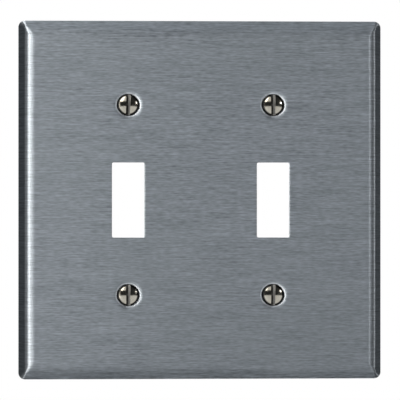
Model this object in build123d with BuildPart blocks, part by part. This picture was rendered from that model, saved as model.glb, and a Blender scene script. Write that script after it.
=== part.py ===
"""Two-gang toggle switch wall plate of brushed stainless steel, with its captive oval-head screws.

Frame: millimetres, +X right and +Z up as seen from the front, the front facing -Y.
The rear rim lies on the wall plane Y = 0, and the origin is the middle of that rim.
"""

from build123d import *
from math import cos, radians, sin, tan
import os

os.makedirs("parts", exist_ok=True)

# Wall plate: a shallow pan drawn from one sheet, open to the wall
plate_width = 115.8
plate_height = 114.3
plate_depth = 5.6
sheet = 0.9
side_lean = 28.5  # degrees that each side leans in from straight forward
bend_radius = 4.0  # outside radius of the bends between the face and the sides
rim_corner_radius = 2.1  # outside radius of the corners at the rim
mitre_radius = 0.8  # outside radius of the mitred corners in the bends
bend_steps = 6  # sections that the bends are lofted through

# Standard spacing of two toggle switches side by side
gang_spacing = 46.02
screw_spacing = 60.325
opening_width = 10.3
opening_height = 23.8
opening_corner = 0.5
opening_edge = 0.3  # rolled edge where the punch entered

# Countersunk dimples, pressed in for the screw heads. Depths are measured back from the plate's face.
countersink = 82.0  # included angle, degrees
dimple_radius = 3.8  # where the cone would meet the face
dimple_rim = 2.1  # rounding between the cone and the face
dimple_back_rim = dimple_rim - sheet
dimple_depth = 2.6
screw_hole_radius = 2.15

# Slotted oval-head machine screw, number 6 with 32 threads per inch, half an inch long
pitch = 25.4 / 32
thread_radius = 1.75
root_radius = 1.3
crest_land = pitch / 8
screw_length = 12.7
head_seat = 0.4  # depth of the head's rim below the plate's face
head_clearance = 0.05  # between the head's cone and the dimple
head_rim = 0.12  # straight band round the head
crown_height = 1.25
slot_width = 1.2
slot_depth = 1.5
tip_chamfer = 0.45
slot_lean = {"upper_left": -2.4, "upper_right": 0.8, "lower_left": 0.6, "lower_right": -0.8}

# Fibre washer on each screw, behind the plate
washer_radius = 4.5
washer_bore = thread_radius + 0.05
washer_thickness = 0.8
back_out_turns = 2  # turns that a screw backs out before its washer meets the dimple
washer_clearance = 0.1  # what is left between them then

half_angle = radians(countersink / 2)
screw_places = {
    "upper_left": (-gang_spacing / 2, screw_spacing / 2),
    "upper_right": (gang_spacing / 2, screw_spacing / 2),
    "lower_left": (-gang_spacing / 2, -screw_spacing / 2),
    "lower_right": (gang_spacing / 2, -screw_spacing / 2),
}


def half_section(x, z):
    """Sketch plane through a screw's axis: local x is the radius, local y the depth behind the face."""
    return Plane(origin=(x, -plate_depth, z), x_dir=(1, 0, 0), z_dir=(0, 0, 1))


def screw_axis(x, z):
    return Axis((x, 0, z), (0, 1, 0))


def make_pan(width, height, depth, bend, rim_corner, mitre):
    """A shallow solid pan: sides that lean in from the rim on the wall, and bends that carry them into the face.

    bend is the radius of the bends. The corners between the sides tighten from rim_corner to mitre, at the bends.
    """
    turn = radians(90 - side_lean)
    flank_depth = depth - bend * (1 - cos(turn))
    flank_inset = flank_depth * tan(radians(side_lean))
    with BuildPart() as pan:
        for level, inset, corner in ((0, 0, rim_corner), (flank_depth, flank_inset, mitre)):
            with BuildSketch(Plane.XZ.offset(level)):
                RectangleRounded(width - 2 * inset, height - 2 * inset, corner)
        loft(ruled=True)
        for step in range(bend_steps + 1):
            left = turn * (1 - step / bend_steps)
            inset = flank_inset + bend * (sin(turn) - sin(left))
            with BuildSketch(Plane.XZ.offset(depth - bend * (1 - cos(left)))):
                RectangleRounded(width - 2 * inset, height - 2 * inset, mitre)
        loft()
    return pan


# The plate's outside, and its inside one sheet away
outside = make_pan(plate_width, plate_height, plate_depth, bend_radius, rim_corner_radius, mitre_radius)
side_thickness = sheet / cos(radians(side_lean))
inside = make_pan(
    plate_width - 2 * side_thickness,
    plate_height - 2 * side_thickness,
    plate_depth - sheet,
    bend_radius - sheet,
    rim_corner_radius - sheet,
    mitre_radius / 2,
)

# The front of a dimple is a cone that ends in the screw hole, and its back is the same cone one sheet away
cone_depth = (dimple_radius - screw_hole_radius) / tan(half_angle)
lead_in = 0.5
back_radius = dimple_radius + sheet / cos(half_angle) - sheet * tan(half_angle)
back_floor_radius = back_radius - (dimple_depth - sheet) * tan(half_angle)

with BuildPart() as wall_plate:
    add(outside.part)
    add(inside.part, mode=Mode.SUBTRACT)

    for x, z in screw_places.values():
        with BuildSketch(half_section(x, z)):
            Polygon(
                (0, sheet / 2),
                (back_radius + sheet / 2 * tan(half_angle), sheet / 2),
                (back_floor_radius, dimple_depth),
                (0, dimple_depth),
                align=None,
            )
        revolve(axis=screw_axis(x, z))
        with BuildSketch(half_section(x, z)):
            Polygon(
                (0, -lead_in),
                (dimple_radius + lead_in * tan(half_angle), -lead_in),
                (screw_hole_radius, cone_depth),
                (screw_hole_radius, dimple_depth + lead_in),
                (0, dimple_depth + lead_in),
                align=None,
            )
        revolve(axis=screw_axis(x, z), mode=Mode.SUBTRACT)
    circles = wall_plate.edges().filter_by(GeomType.CIRCLE)
    fillet(circles.filter_by(lambda edge: abs(edge.radius - dimple_radius) < 0.01), dimple_rim)
    circles = wall_plate.edges().filter_by(GeomType.CIRCLE)
    fillet(circles.filter_by(lambda edge: abs(edge.radius - back_radius) < 0.01), dimple_back_rim)

    with BuildSketch(Plane.XZ.offset(plate_depth)):
        with GridLocations(gang_spacing, 0, 2, 1):
            RectangleRounded(opening_width, opening_height, opening_corner)
    extrude(amount=-2 * sheet, mode=Mode.SUBTRACT)
    opening_edges = (
        wall_plate.faces()
        .sort_by(Axis.Y)[0]
        .edges()
        .filter_by_position(Axis.Z, -opening_height / 2, opening_height / 2)
        .filter_by_position(Axis.X, -gang_spacing, gang_spacing)
    )
    fillet(opening_edges, opening_edge)

wall_plate.part.label = "wall_plate"
export_step(wall_plate.part, "parts/wall_plate.step")

# Screw: the head's cone follows the dimple, and the thread is drawn as rings of the 60 degree profile
head_radius = dimple_radius - head_seat * tan(half_angle) - head_clearance / cos(half_angle)
neck_depth = head_seat + (head_radius - root_radius) / tan(half_angle)
tip_depth = head_seat + screw_length
flank = (thread_radius - root_radius) * tan(radians(30))
thread_end = tip_depth - tip_chamfer
rings = int((thread_end - neck_depth) / pitch)

thread_profile = []
for ring in range(rings):
    end = thread_end - ring * pitch
    thread_profile += [
        (root_radius, end),
        (thread_radius, end - flank),
        (thread_radius, end - flank - crest_land),
        (root_radius, end - 2 * flank - crest_land),
    ]

for corner, (x, z) in screw_places.items():
    crown_edge = (head_radius, head_seat - head_rim)
    crown_top = (0, head_seat - head_rim - crown_height)
    with BuildPart() as screw:
        with BuildSketch(half_section(x, z)):
            with BuildLine():
                Polyline(
                    crown_top,
                    (0, tip_depth),
                    (root_radius - tip_chamfer, tip_depth),
                    *thread_profile,
                    (root_radius, neck_depth),
                    (head_radius, head_seat),
                    crown_edge,
                )
                TangentArc(crown_top, crown_edge, tangent=(1, 0))
            make_face()
        revolve(axis=screw_axis(x, z))
        slot_angle = radians(slot_lean[corner])
        slot_floor = Plane(
            origin=(x, slot_depth + crown_top[1] - plate_depth, z),
            x_dir=(cos(slot_angle), 0, sin(slot_angle)),
            z_dir=(0, -1, 0),
        )
        with BuildSketch(slot_floor):
            Rectangle(slot_width, 3 * head_radius)
        extrude(amount=2 * slot_depth, mode=Mode.SUBTRACT)
    screw.part.label = f"screw_{corner}"
    export_step(screw.part, f"parts/screw_{corner}.step")

# Washers, far enough behind the dimples for the screws to back out
back_out = back_out_turns * pitch
washer_front = dimple_depth + back_out + washer_clearance - plate_depth

for corner, (x, z) in screw_places.items():
    with BuildPart() as washer:
        with BuildSketch(Plane(origin=(x, washer_front, z), x_dir=(1, 0, 0), z_dir=(0, 1, 0))):
            Circle(washer_radius)
            Circle(washer_bore, mode=Mode.SUBTRACT)
        extrude(amount=washer_thickness)
    washer.part.label = f"washer_{corner}"
    export_step(washer.part, f"parts/washer_{corner}.step")
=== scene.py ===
import math

import bmesh
import bpy
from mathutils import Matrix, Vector


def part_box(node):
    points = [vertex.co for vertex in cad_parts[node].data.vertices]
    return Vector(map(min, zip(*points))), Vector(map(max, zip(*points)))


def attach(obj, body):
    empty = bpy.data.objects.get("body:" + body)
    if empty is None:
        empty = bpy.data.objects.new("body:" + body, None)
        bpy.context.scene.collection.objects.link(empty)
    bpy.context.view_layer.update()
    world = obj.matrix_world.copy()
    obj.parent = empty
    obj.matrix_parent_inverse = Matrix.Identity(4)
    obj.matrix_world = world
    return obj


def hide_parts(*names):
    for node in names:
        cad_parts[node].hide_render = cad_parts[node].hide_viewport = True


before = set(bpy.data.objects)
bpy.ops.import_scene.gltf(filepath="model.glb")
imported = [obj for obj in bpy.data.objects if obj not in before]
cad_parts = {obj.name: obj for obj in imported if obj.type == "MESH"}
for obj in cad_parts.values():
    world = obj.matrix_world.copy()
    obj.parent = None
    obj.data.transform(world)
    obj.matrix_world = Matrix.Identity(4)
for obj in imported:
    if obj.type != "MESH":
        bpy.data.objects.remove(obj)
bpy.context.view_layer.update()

MM = 0.001
CORNERS = ("upper_left", "upper_right", "lower_left", "lower_right")

# Colours of the brushed front, the mill finish behind it, and the dimples, with their painted sheen and
# painted shade
DARK_STREAK = (0.26, 0.283, 0.305, 1)
LIGHT_STREAK = (0.612, 0.655, 0.698, 1)
PALE_CLOUD = (0.85, 0.95, 0.95, 1)
DARK_MILL = (0.40, 0.42, 0.44, 1)
LIGHT_MILL = (0.46, 0.48, 0.50, 1)
BURNISHED_SHEEN = (0.90, 0.94, 0.97, 1)
DIMPLE_SHADE = (0.014, 0.014, 0.014, 1)

# Colours of the screws' nickel plate, of the bare metal in their slots, and of the painted shade on both
DARK_NICKEL = (0.33, 0.308, 0.258, 1)
LIGHT_NICKEL = (0.45, 0.424, 0.36, 1)
SCRATCHED_NICKEL = (0.23, 0.212, 0.175, 1)
HEAD_EDGE_SHADE = (0.012, 0.012, 0.012, 1)
DARK_CUT = (0.30, 0.29, 0.27, 1)
LIGHT_CUT = (0.62, 0.60, 0.56, 1)
SLOT_SHADOW = (0.03, 0.028, 0.025, 1)

# Colours of the washers' fibre and of the floor
DARK_FIBRE = (0.26, 0.062, 0.040, 1)
LIGHT_FIBRE = (0.40, 0.115, 0.070, 1)
FIBRE_STRAND = (0.50, 0.22, 0.15, 1)
DARK_FLOOR = (0.83, 0.83, 0.825, 1)
LIGHT_FLOOR = (0.86, 0.86, 0.855, 1)

# Tints of the lights and of the room that the metal mirrors
WARM_WHITE = (1.02, 1.0, 0.97)
COOL_WHITE = (0.96, 1.0, 1.05)
TABLE_WHITE = (0.98, 1.0, 1.03)
ROOM_TINT = (0.93, 1.0, 1.06, 1)

# Where the burnish, lightened as a painted sheen, and the painted shade end in a dimple, outward from the
# edge of the screw's head
BURNISH_SHEEN_FULL = 0.3 * MM
BURNISH_SHEEN_END = 0.75 * MM
DIMPLE_SHADE_FULL = 0.05 * MM
DIMPLE_SHADE_END = 0.2 * MM
# Where the painted shade on a head starts and is full, inward from that edge
HEAD_SHADE_START = 0.68 * MM
HEAD_SHADE_FULL = 0.44 * MM
# X from the screw's axis where the painted shadow along a slot's left side starts to fade, and where it is
# faintest
SLOT_SHADOW_DEEP = -0.1 * MM
SLOT_SHADOW_FAINT = 0.2 * MM


# ---------------------------------------------------------------- node helpers

class Nodes:
    """A node tree that is written from left to right: each call adds one node and wires its inputs."""

    def __init__(self, tree):
        self.tree = tree
        tree.nodes.clear()

    def add(self, kind, inputs=None, **settings):
        node = self.tree.nodes.new(kind)
        for name, value in settings.items():
            setattr(node, name, value)
        for name, value in (inputs or {}).items():
            if isinstance(value, bpy.types.NodeSocket):
                self.tree.links.new(value, node.inputs[name])
            else:
                node.inputs[name].default_value = value
        return node

    def math(self, operation, a, b=0.0, clamp=False):
        return self.add("ShaderNodeMath", {0: a, 1: b}, operation=operation, use_clamp=clamp).outputs[0]

    def noise(self, coordinates, scale, detail=2.0, roughness=0.5, offset=(0, 0, 0), distortion=0.0):
        """Noise with its own scale along each axis, in cells a metre, as a value round 0.5."""
        place = self.add("ShaderNodeMapping", {"Vector": coordinates, "Location": offset, "Scale": scale})
        inputs = {
            "Vector": place.outputs[0], "Scale": 1.0, "Detail": detail,
            "Roughness": roughness, "Distortion": distortion,
        }
        return self.add("ShaderNodeTexNoise", inputs).outputs[0]

    def remap(self, value, low, high, to_low=0.0, to_high=1.0):
        """Carry the range from low to high over to the one from to_low to to_high, held at both ends."""
        inputs = {"Value": value, "From Min": low, "From Max": high, "To Min": to_low, "To Max": to_high}
        return self.add("ShaderNodeMapRange", inputs, clamp=True).outputs[0]

    def radius(self, coordinates, x, z):
        """Distance in XZ from the nearest of the four points (x, z), (-x, z), (x, -z) and (-x, -z)."""
        parts = self.add("ShaderNodeSeparateXYZ", {0: coordinates}).outputs
        squares = []
        for name, centre in (("X", x), ("Z", z)):
            offset = self.math("SUBTRACT", self.math("ABSOLUTE", parts[name]), centre)
            squares.append(self.math("MULTIPLY", offset, offset))
        return self.math("SQRT", self.math("ADD", *squares))

    def mix(self, factor, a, b):
        """Colour a where the factor is 0, and colour b where it is 1."""
        return self.add("ShaderNodeMix", {0: factor, 6: a, 7: b}, data_type="RGBA").outputs[2]


def new_material(name):
    material = bpy.data.materials.new(name)
    material.use_nodes = True
    return material, Nodes(material.node_tree)


def finish_material(nodes, shader):
    nodes.add("ShaderNodeOutputMaterial", {"Surface": shader.outputs[0]})


# ---------------------------------------------------------------- materials

def head_radius():
    """Radius of a screw's head, from the box of its CAD node."""
    low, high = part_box("screw_upper_right")
    return (high.x - low.x) / 2


def screw_radius(nodes, place):
    """Distance from the axis of the nearest screw, for a point of the plate."""
    low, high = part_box("screw_upper_right")
    axis = (low + high) / 2
    return nodes.radius(place, axis.x, axis.z)


def brushed_steel():
    """Stainless sheet, brushed from side to side on the front and left plain from the mill behind.

    The streaks run along X and are a few tenths of a millimetre high, with finer hair lines between them.
    The shader stretches highlights across them on the front only. The dimples carry a burnished ring,
    lightened past the steel's own tone as a painted sheen, and painted shade close round the screw heads,
    where the gap lies dark.
    """
    material, nodes = new_material("brushed_stainless")
    coordinates = nodes.add("ShaderNodeTexCoord")
    place, normal = coordinates.outputs["Object"], coordinates.outputs["Normal"]
    streak = nodes.noise(place, (85, 0, 1950), detail=2.0, roughness=0.6)
    dash = nodes.noise(place, (430, 0, 2400), detail=1.0, offset=(3, 0, 7))
    hair = nodes.noise(place, (120, 0, 5200), detail=3.0, roughness=0.65, offset=(8, 0, 1))
    band = nodes.noise(place, (26, 0, 230), detail=2.0, offset=(11, 0, 2))
    cloud = nodes.noise(place, (24, 24, 38), detail=3.0, offset=(5, 1, 9))
    lines = nodes.math("ADD", nodes.math("MULTIPLY", streak, 0.5), nodes.math("MULTIPLY", dash, 0.5))
    brushed = nodes.math("ADD", nodes.math("MULTIPLY", lines, 0.72), nodes.math("MULTIPLY", hair, 0.28))
    grain = nodes.math("ADD", nodes.math("MULTIPLY", brushed, 0.9), nodes.math("MULTIPLY", band, 0.1))

    facing = nodes.add("ShaderNodeSeparateXYZ", {0: normal}).outputs["Y"]
    back = nodes.remap(facing, 0.3, 0.6)
    mill = nodes.noise(place, (420, 420, 420), detail=4.0, roughness=0.6)
    front_tone = nodes.mix(nodes.remap(grain, 0.38, 0.62), DARK_STREAK, LIGHT_STREAK)
    back_tone = nodes.mix(nodes.remap(mill, 0.35, 0.65), DARK_MILL, LIGHT_MILL)
    tone = nodes.mix(back, front_tone, back_tone)
    tinted = nodes.mix(nodes.remap(cloud, 0.35, 0.65, 0.0, 0.07), tone, PALE_CLOUD)
    front = nodes.math("SUBTRACT", 1.0, back)
    from_screw = screw_radius(nodes, place)
    head = head_radius()
    # The burnished ring is lightened far past the steel's own tone, a painted sheen that makes the dimples'
    # reflections whiter.
    burnish_sheen = nodes.remap(from_screw, head + BURNISH_SHEEN_FULL, head + BURNISH_SHEEN_END, 1.0, 0.0)
    burnished_with_sheen = nodes.mix(nodes.math("MULTIPLY", burnish_sheen, front), tinted, BURNISHED_SHEEN)
    # Painted shade: the dimple darkens close round each head, where the gap would fall in shadow.
    painted_shade = nodes.remap(from_screw, head + DIMPLE_SHADE_FULL, head + DIMPLE_SHADE_END, 1.0, 0.0)
    shaded = nodes.mix(nodes.math("MULTIPLY", painted_shade, front), burnished_with_sheen, DIMPLE_SHADE)

    brushed_roughness = nodes.remap(brushed, 0.38, 0.62, 0.40, 0.50)
    dulled = nodes.math("ADD", brushed_roughness, nodes.math("MULTIPLY", back, 0.18))
    roughness = nodes.math("ADD", dulled, nodes.remap(cloud, 0.3, 0.7, -0.02, 0.03))
    height = nodes.math("MULTIPLY", brushed, front)
    bump = nodes.add("ShaderNodeBump", {"Strength": 0.3, "Distance": 0.03 * MM, "Height": height})
    across = nodes.add(
        "ShaderNodeVectorTransform", {"Vector": (0, 0, 1)},
        vector_type="VECTOR", convert_from="OBJECT", convert_to="WORLD")
    shader = nodes.add("ShaderNodeBsdfPrincipled", {
        "Base Color": shaded, "Metallic": 1.0, "Roughness": roughness, "Anisotropic": front,
        "Tangent": across.outputs[0], "Normal": bump.outputs[0],
    })
    finish_material(nodes, shader)
    return material


def bright_nickel():
    """Nickel plate over a turned head: close to a mirror, with an uneven film and faint upright scratches.

    Painted shade darkens the edge of the head, where it sits in its dimple.
    """
    material, nodes = new_material("bright_nickel")
    place = nodes.add("ShaderNodeTexCoord").outputs["Object"]
    film = nodes.noise(place, (420, 420, 420), detail=3.0)
    scratch = nodes.noise(place, (9000, 600, 1200), detail=2.0, distortion=0.3)
    warm = nodes.mix(nodes.remap(film, 0.3, 0.7), DARK_NICKEL, LIGHT_NICKEL)
    worn = nodes.mix(nodes.remap(scratch, 0.45, 0.75, 0.0, 0.4), warm, SCRATCHED_NICKEL)
    radius = nodes.radius(place, 0, 0)
    # Painted shade: the head darkens towards its edge, where it sinks into the dimple.
    edge = nodes.remap(radius, head_radius() - HEAD_SHADE_START, head_radius() - HEAD_SHADE_FULL)
    shaded = nodes.mix(edge, worn, HEAD_EDGE_SHADE)
    roughness = nodes.math(
        "ADD", nodes.remap(film, 0.3, 0.7, 0.10, 0.16), nodes.remap(scratch, 0.62, 0.75, 0.0, 0.10))
    bump = nodes.add("ShaderNodeBump", {"Strength": 0.25, "Distance": 0.01 * MM, "Height": scratch})
    shader = nodes.add("ShaderNodeBsdfPrincipled", {
        "Base Color": shaded, "Metallic": 1.0, "Roughness": roughness, "Normal": bump.outputs[0]})
    finish_material(nodes, shader)
    return material


def cut_nickel():
    """The sawn slot: metal dulled by the saw's marks, and painted shadow along the slot's left side, where
    its wall keeps off the light.
    """
    material, nodes = new_material("cut_nickel")
    place = nodes.add("ShaderNodeTexCoord").outputs["Object"]
    marks = nodes.noise(place, (7000, 7000, 500), detail=3.0)
    grime = nodes.noise(place, (1500, 1500, 1500), detail=3.0)
    bare = nodes.mix(nodes.remap(marks, 0.35, 0.65), DARK_CUT, LIGHT_CUT)
    across = nodes.add("ShaderNodeSeparateXYZ", {0: place}).outputs["X"]
    # Painted shadow: the slot darkens towards its left side, which its wall would shade from the lights on
    # the left.
    left_wall_shadow = nodes.remap(across, SLOT_SHADOW_DEEP, SLOT_SHADOW_FAINT, 0.95, 0.15)
    painted_shade = nodes.math("ADD", left_wall_shadow, nodes.remap(grime, 0.35, 0.65, -0.15, 0.15), clamp=True)
    dull = nodes.mix(painted_shade, bare, SLOT_SHADOW)
    bump = nodes.add("ShaderNodeBump", {"Strength": 0.4, "Distance": 0.02 * MM, "Height": marks})
    shader = nodes.add("ShaderNodeBsdfPrincipled", {
        "Base Color": dull, "Metallic": 1.0, "Roughness": nodes.remap(grime, 0.3, 0.7, 0.38, 0.55),
        "Normal": bump.outputs[0]})
    finish_material(nodes, shader)
    return material


def fibre():
    """Vulcanised fibre: dull brick red, mottled, with a papery surface."""
    material, nodes = new_material("fibre")
    place = nodes.add("ShaderNodeTexCoord").outputs["Object"]
    mottle = nodes.noise(place, (900, 900, 900), detail=4.0)
    strands = nodes.noise(place, (5200, 2600, 1300), detail=3.0, distortion=0.8)
    colour = nodes.mix(nodes.remap(mottle, 0.3, 0.7), DARK_FIBRE, LIGHT_FIBRE)
    fleck = nodes.mix(nodes.remap(strands, 0.58, 0.72, 0.0, 0.5), colour, FIBRE_STRAND)
    bump = nodes.add("ShaderNodeBump", {"Strength": 0.5, "Distance": 0.04 * MM, "Height": strands})
    shader = nodes.add("ShaderNodeBsdfPrincipled", {
        "Base Color": fleck, "Roughness": nodes.remap(mottle, 0.3, 0.7, 0.55, 0.75),
        "Normal": bump.outputs[0]})
    finish_material(nodes, shader)
    return material


def pale_floor():
    material, nodes = new_material("pale_floor")
    place = nodes.add("ShaderNodeTexCoord").outputs["Object"]
    grain = nodes.noise(place, (3, 3, 3), detail=3.0)
    colour = nodes.mix(nodes.remap(grain, 0.3, 0.7), DARK_FLOOR, LIGHT_FLOOR)
    shader = nodes.add("ShaderNodeBsdfPrincipled", {"Base Color": colour, "Roughness": 0.7})
    finish_material(nodes, shader)
    return material


# ---------------------------------------------------------------- screws

# Thread: number 6 with 32 turns an inch, and a 60 degree profile
PITCH = 25.4 / 32 * MM
THREAD_RADIUS = 1.75 * MM
ROOT_RADIUS = 1.3 * MM
CREST_LAND = PITCH / 8
FLANK = (THREAD_RADIUS - ROOT_RADIUS) * math.tan(math.radians(30))

# Head, slot and tip. SLOT_LEAN is in degrees from upright.
COUNTERSINK = math.radians(82)
SCREW_LENGTH = 12.7 * MM
CROWN_HEIGHT = 1.25 * MM
CROWN_EDGE = 0.5 * MM  # radius that rounds the crown into the head's rim
HEAD_RIM = 0.12 * MM
SLOT_WIDTH = 1.2 * MM
SLOT_DEPTH = 1.5 * MM
SLOT_LIP = 0.07 * MM  # how far the slot's edges are eased
SLOT_REACH = 1.2  # how far the cutter reaches from the middle to each end, in head radii
TIP_CHAMFER = 0.45 * MM
SLOT_LEAN = {"upper_left": -2.4, "upper_right": 0.8, "lower_left": 0.6, "lower_right": -0.8}
SEAT_EDGE = 0.03 * MM  # bevel between the rim and the cone
NECK_FILLET = 1.4  # radius where the cone bends into the neck, in root radii

# Fineness of the mesh. WELD is in metres and SHARP_ANGLE in degrees.
AROUND = 96
CROWN_RINGS = 14
EDGE_RINGS = 6
SLOT_STEPS = 24
WELD = 1e-7
SHARP_ANGLE = 38


def ring(bm, radius, y):
    """A circle of vertices round the screw's axis, which lies along Y."""
    angles = [2 * math.pi * k / AROUND for k in range(AROUND)]
    return [bm.verts.new((radius * math.cos(a), y, radius * math.sin(a))) for a in angles]


def join_rings(bm, a, b):
    for k in range(AROUND):
        bm.faces.new((a[k], a[(k + 1) % AROUND], b[(k + 1) % AROUND], b[k]))


def crown_sphere(head):
    """Radius of the oval crown, which runs tangent into the rounded edge of the head."""
    edge_centre = head - CROWN_EDGE
    return (CROWN_HEIGHT**2 - CROWN_EDGE**2 + edge_centre**2) / (2 * (CROWN_HEIGHT - CROWN_EDGE))


def crown_depth(radius, head):
    """How far the crown has dropped below its top at this radius."""
    sphere = crown_sphere(head)
    edge_centre = head - CROWN_EDGE
    tangent = sphere * edge_centre / (sphere - CROWN_EDGE)
    if radius <= tangent:
        return sphere - math.sqrt(sphere**2 - radius**2)
    return CROWN_HEIGHT - math.sqrt(max(CROWN_EDGE**2 - (radius - edge_centre)**2, 0.0))


def thread(bm, start, end):
    """A right-hand 60 degree thread as one helical sheet, run out at the head and chamfered at the tip.

    Each line carries one point of the profile once round the axis, and ends where that point's line one turn
    nearer the head begins. Returns the radius of the tip.
    """
    profile = [
        (0.0, ROOT_RADIUS), (FLANK, THREAD_RADIUS),
        (FLANK + CREST_LAND, THREAD_RADIUS), (2 * FLANK + CREST_LAND, ROOT_RADIUS)]
    turns = math.ceil((end - start) / PITCH) + 2
    rows = [(turn * PITCH + along, radius) for turn in range(-1, turns) for along, radius in profile]
    tip_radius = ROOT_RADIUS - TIP_CHAMFER
    sheet = []
    for along, radius in rows:
        line = []
        for k in range(AROUND):
            y = min(max(start + along - PITCH * k / AROUND, start), end)
            run_out = min((y - start) / PITCH, 1.0)
            r = ROOT_RADIUS + (radius - ROOT_RADIUS) * run_out
            r = min(r, tip_radius + end - y)
            angle = 2 * math.pi * k / AROUND
            line.append(bm.verts.new((r * math.cos(angle), y, r * math.sin(angle))))
        sheet.append(line)
    for row in range(len(sheet) - 1):
        a, b = sheet[row], sheet[row + 1]
        for k in range(AROUND - 1):
            bm.faces.new((a[k], a[k + 1], b[k + 1], b[k]))
        back = row - len(profile)
        if back >= 0:
            c, d = sheet[back], sheet[back + 1]
            bm.faces.new((a[-1], c[0], d[0], b[-1]))
    return tip_radius


def slot_cutter(name, top, head, lean):
    """The slot's space as a closed solid whose mouth flares along the crown, so the slot's lips are eased.

    The outline is mirrored about the slot's middle, and swept along the slot past both ends of the head.
    """
    floor = top + SLOT_DEPTH
    half = SLOT_WIDTH / 2
    bm = bmesh.new()
    sections = []
    for step in range(SLOT_STEPS + 1):
        along = (2 * step / SLOT_STEPS - 1) * head * SLOT_REACH
        reach = min(math.hypot(along, half), head)
        lip = top + crown_depth(reach, head)
        outline = [
            (half, floor), (half, lip + SLOT_LIP), (half + SLOT_LIP * 0.3, lip + SLOT_LIP * 0.3),
            (half + SLOT_LIP * 1.6, lip - SLOT_LIP * 0.3), (half + SLOT_LIP * 2, top - 1 * MM)]
        outline += [(-x, y) for x, y in reversed(outline)]
        cos, sin = math.cos(lean), math.sin(lean)
        sections.append([
            bm.verts.new((x * cos - along * sin, y, x * sin + along * cos)) for x, y in outline])
    for a, b in zip(sections, sections[1:]):
        for i in range(len(a)):
            j = (i + 1) % len(a)
            bm.faces.new((a[i], a[j], b[j], b[i]))
    bm.faces.new(list(reversed(sections[0])))
    bm.faces.new(sections[-1])
    bmesh.ops.recalc_face_normals(bm, faces=bm.faces)
    return mesh_object(name, bm)


def mesh_object(name, bm):
    mesh = bpy.data.meshes.new(name)
    bm.to_mesh(mesh)
    bm.free()
    piece = bpy.data.objects.new(name, mesh)
    bpy.context.scene.collection.objects.link(piece)
    return piece


def head_profile(head, top):
    """Radius and Y of the head's outline, from beside the crown's top to the neck under the cone."""
    rim = top + CROWN_HEIGHT
    seat = rim + HEAD_RIM
    neck = seat + (head - ROOT_RADIUS) / math.tan(COUNTERSINK / 2)
    edge_centre = head - CROWN_EDGE
    crown = [edge_centre * step / CROWN_RINGS for step in range(1, CROWN_RINGS + 1)]
    turns = [math.pi / 2 * step / EDGE_RINGS for step in range(1, EDGE_RINGS)]
    crown += [edge_centre + CROWN_EDGE * math.sin(turn) for turn in turns]
    profile = [(radius, top + crown_depth(radius, head)) for radius in crown]
    fillet_radius = NECK_FILLET * ROOT_RADIUS
    fillet_rise = (fillet_radius - ROOT_RADIUS) / math.tan(COUNTERSINK / 2)
    return profile + [
        (head, rim),
        (head, seat - SEAT_EDGE),
        (head - SEAT_EDGE, seat + SEAT_EDGE),
        (fillet_radius, neck - fillet_rise),
        (ROOT_RADIUS, neck + fillet_rise / 2),
    ]


def make_screw(corner, plated, sawn):
    """A closed oval-head screw in its CAD node's place, with a sawn slot and a helical thread."""
    low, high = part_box(f"screw_{corner}")
    centre = (low + high) / 2
    head = head_radius()
    tip = high.y
    top = tip - SCREW_LENGTH - HEAD_RIM - CROWN_HEIGHT

    bm = bmesh.new()
    rings = [ring(bm, radius, y) for radius, y in head_profile(head, top)]
    for a, b in zip(rings, rings[1:]):
        join_rings(bm, a, b)
    pole = bm.verts.new((0, top, 0))
    for k in range(AROUND):
        bm.faces.new((pole, rings[0][(k + 1) % AROUND], rings[0][k]))
    neck = rings[-1][0].co.y
    tip_radius = thread(bm, neck, tip)
    end = ring(bm, tip_radius, tip)
    middle = bm.verts.new((0, tip, 0))
    for k in range(AROUND):
        bm.faces.new((middle, end[k], end[(k + 1) % AROUND]))
    bmesh.ops.remove_doubles(bm, verts=bm.verts, dist=WELD)
    bmesh.ops.dissolve_degenerate(bm, edges=bm.edges, dist=WELD / 10)
    bmesh.ops.recalc_face_normals(bm, faces=bm.faces)
    solid = mesh_object(f"oval_head_screw_{corner}", bm)
    solid.data.materials.append(plated)

    cutter = slot_cutter("slot_cutter", top, head, math.radians(SLOT_LEAN[corner]))
    cutter.data.materials.append(sawn)
    cut = solid.modifiers.new("slot", "BOOLEAN")
    cut.operation, cut.solver, cut.object, cut.material_mode = "DIFFERENCE", "EXACT", cutter, "TRANSFER"
    evaluated = solid.evaluated_get(bpy.context.evaluated_depsgraph_get())
    solid.data = bpy.data.meshes.new_from_object(evaluated)
    solid.modifiers.clear()
    bpy.data.objects.remove(cutter)

    solid.data.shade_smooth()
    solid.data.set_sharp_from_angle(angle=math.radians(SHARP_ANGLE))
    solid.location = (centre.x, 0, centre.z)
    bpy.context.view_layer.update()
    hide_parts(f"screw_{corner}")
    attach(solid, f"screw_{corner}")


# ---------------------------------------------------------------- studio

CAMERA_LEFT = 2.5  # degrees
CAMERA_DISTANCE = 0.8
CAMERA_FIELD = 0.1278  # width that the picture shows at the plate
SENSOR_WIDTH = 36
TABLE_GAP = 0.06  # between the plate's wall plane and the table in front of it
FLOOR_DROP = 0.45
FLOOR_RADIUS = 4.0
ROOM_AHEAD = 0.032  # strength of the room that the metal mirrors, ahead of the plate
ROOM_BEHIND = 0.12  # and behind it


def aim(thing, target):
    thing.rotation_mode = "QUATERNION"
    thing.rotation_quaternion = (Vector(target) - thing.location).to_track_quat("-Z", "Y")


def direction(left, up):
    """Unit vector from the plate, by degrees to the left of straight forward and degrees up."""
    a, e = math.radians(left), math.radians(up)
    return Vector((-math.sin(a) * math.cos(e), -math.cos(a) * math.cos(e), math.sin(e)))


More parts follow.
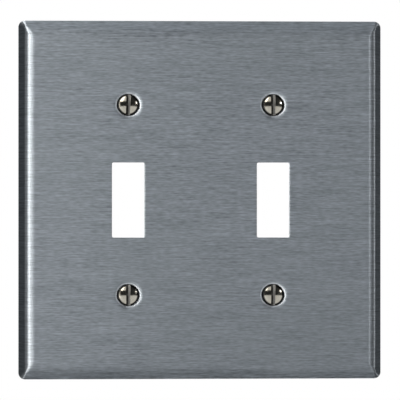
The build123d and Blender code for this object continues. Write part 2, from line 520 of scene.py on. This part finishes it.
def area_light(name, size, radiance, colour):
    """A rectangular light that the camera doesn't see. Radiance is what a mirror would show of it."""
    light = bpy.data.lights.new(name, "AREA")
    light.shape = "RECTANGLE"
    light.size, light.size_y = size
    light.energy = radiance * math.pi * size[0] * size[1]
    light.color = colour
    lamp = bpy.data.objects.new(name, light)
    bpy.context.scene.collection.objects.link(lamp)
    lamp.visible_camera = False
    return lamp


def softbox(name, left, up, distance, size, radiance, colour=(1, 1, 1)):
    """An area light that faces the plate, so many degrees to the left of its front and up."""
    box = area_light(name, size, radiance, colour)
    box.location = direction(left, up) * distance
    aim(box, (0, 0, 0))


def table_light(drop, depth, width, radiance, colour):
    """A bright level sheet in front of the plate and below it, as a pale table would show in the metal."""
    table = area_light("table_light", (width, depth), radiance, colour)
    table.location = (0, -TABLE_GAP - depth / 2, -drop)
    table.rotation_euler = (math.pi, 0, 0)


def make_world():
    """White to the camera and to matt surfaces. The metal mirrors a dark room, lighter behind the plate."""
    world = bpy.data.worlds.new("studio")
    bpy.context.scene.world = world
    world.use_nodes = True
    world.cycles.sampling_method = "NONE"
    nodes = Nodes(world.node_tree)
    white = nodes.add("ShaderNodeBackground", {"Color": (1, 1, 1, 1), "Strength": 1.0})
    towards = nodes.add("ShaderNodeTexCoord").outputs["Generated"]
    behind = nodes.add("ShaderNodeSeparateXYZ", {0: towards}).outputs["Y"]
    strength = nodes.remap(behind, 0.2, 0.8, ROOM_AHEAD, ROOM_BEHIND)
    dim = nodes.add("ShaderNodeBackground", {"Color": ROOM_TINT, "Strength": strength})
    mirrored = nodes.add("ShaderNodeLightPath").outputs["Is Glossy Ray"]
    both = nodes.add("ShaderNodeMixShader", {0: mirrored, 1: white.outputs[0], 2: dim.outputs[0]})
    nodes.add("ShaderNodeOutputWorld", {"Surface": both.outputs[0]})


def make_floor():
    """A round pale floor below the plate, which the metal doesn't mirror."""
    bm = bmesh.new()
    middle = bm.verts.new((0, 0, -FLOOR_DROP))
    angles = [2 * math.pi * k / AROUND for k in range(AROUND)]
    circles = []
    for share in (0.1, 0.3, 0.6, 1.0):
        radius = FLOOR_RADIUS * share
        circles.append([
            bm.verts.new((radius * math.cos(a), radius * math.sin(a), -FLOOR_DROP)) for a in angles])
    for k in range(AROUND):
        bm.faces.new((middle, circles[0][k], circles[0][(k + 1) % AROUND]))
    for a, b in zip(circles, circles[1:]):
        for k in range(AROUND):
            bm.faces.new((a[k], b[k], b[(k + 1) % AROUND], a[(k + 1) % AROUND]))
    floor = mesh_object("floor", bm)
    floor.data.materials.append(pale_floor())
    floor.visible_glossy = False


def make_camera():
    """A long lens straight in front, a little to the plate's left."""
    camera = bpy.data.cameras.new("camera")
    camera.sensor_width = SENSOR_WIDTH
    camera.lens = SENSOR_WIDTH * CAMERA_DISTANCE / CAMERA_FIELD
    camera.clip_end = 50
    eye = bpy.data.objects.new("camera", camera)
    bpy.context.scene.collection.objects.link(eye)
    eye.location = direction(CAMERA_LEFT, 0) * CAMERA_DISTANCE
    aim(eye, (0, 0, 0))
    bpy.context.scene.camera = eye


def paint(node, material):
    node.data.materials.clear()
    node.data.materials.append(material)


steel, nickel, sawn_nickel, red_fibre = brushed_steel(), bright_nickel(), cut_nickel(), fibre()
paint(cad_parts["wall_plate"], steel)
for corner in CORNERS:
    paint(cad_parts[f"washer_{corner}"], red_fibre)
    make_screw(corner, nickel, sawn_nickel)

bpy.context.scene.view_settings.view_transform = "Standard"
make_world()
make_floor()
# The left bend mirrors the lights on the left, and the right bend those on the right. The face mirrors the
# table, overhead and, at its left, fill_left. The upper bend mirrors overhead and the lower one the table.
# The screws show key, fill_left, right_lamp and the table, and rear lights only the back.
softbox("key", left=50, up=40, distance=0.8, size=(0.46, 0.52), radiance=5.3, colour=WARM_WHITE)
softbox("key_left", left=63, up=4, distance=0.9, size=(0.4, 0.85), radiance=3.5, colour=WARM_WHITE)
softbox("far_left", left=95, up=4, distance=0.9, size=(0.4, 0.85), radiance=0.5)
softbox("fill_left", left=18, up=38, distance=0.8, size=(0.36, 0.4), radiance=1.1)
softbox("overhead", left=0, up=88, distance=0.9, size=(1.2, 0.75), radiance=0.85, colour=COOL_WHITE)
softbox("right_lamp", left=-51, up=15, distance=0.8, size=(0.09, 0.12), radiance=11.0)
softbox("right_fill", left=-78, up=5, distance=0.9, size=(0.5, 0.85), radiance=0.1)
softbox("right_rear_strip", left=-105, up=5, distance=0.6, size=(0.06, 0.9), radiance=2.5)
softbox("rear", left=180, up=16, distance=1.2, size=(1.0, 0.7), radiance=4.2)
table_light(drop=0.12, depth=1.5, width=1.8, radiance=1.1, colour=TABLE_WHITE)
make_camera()
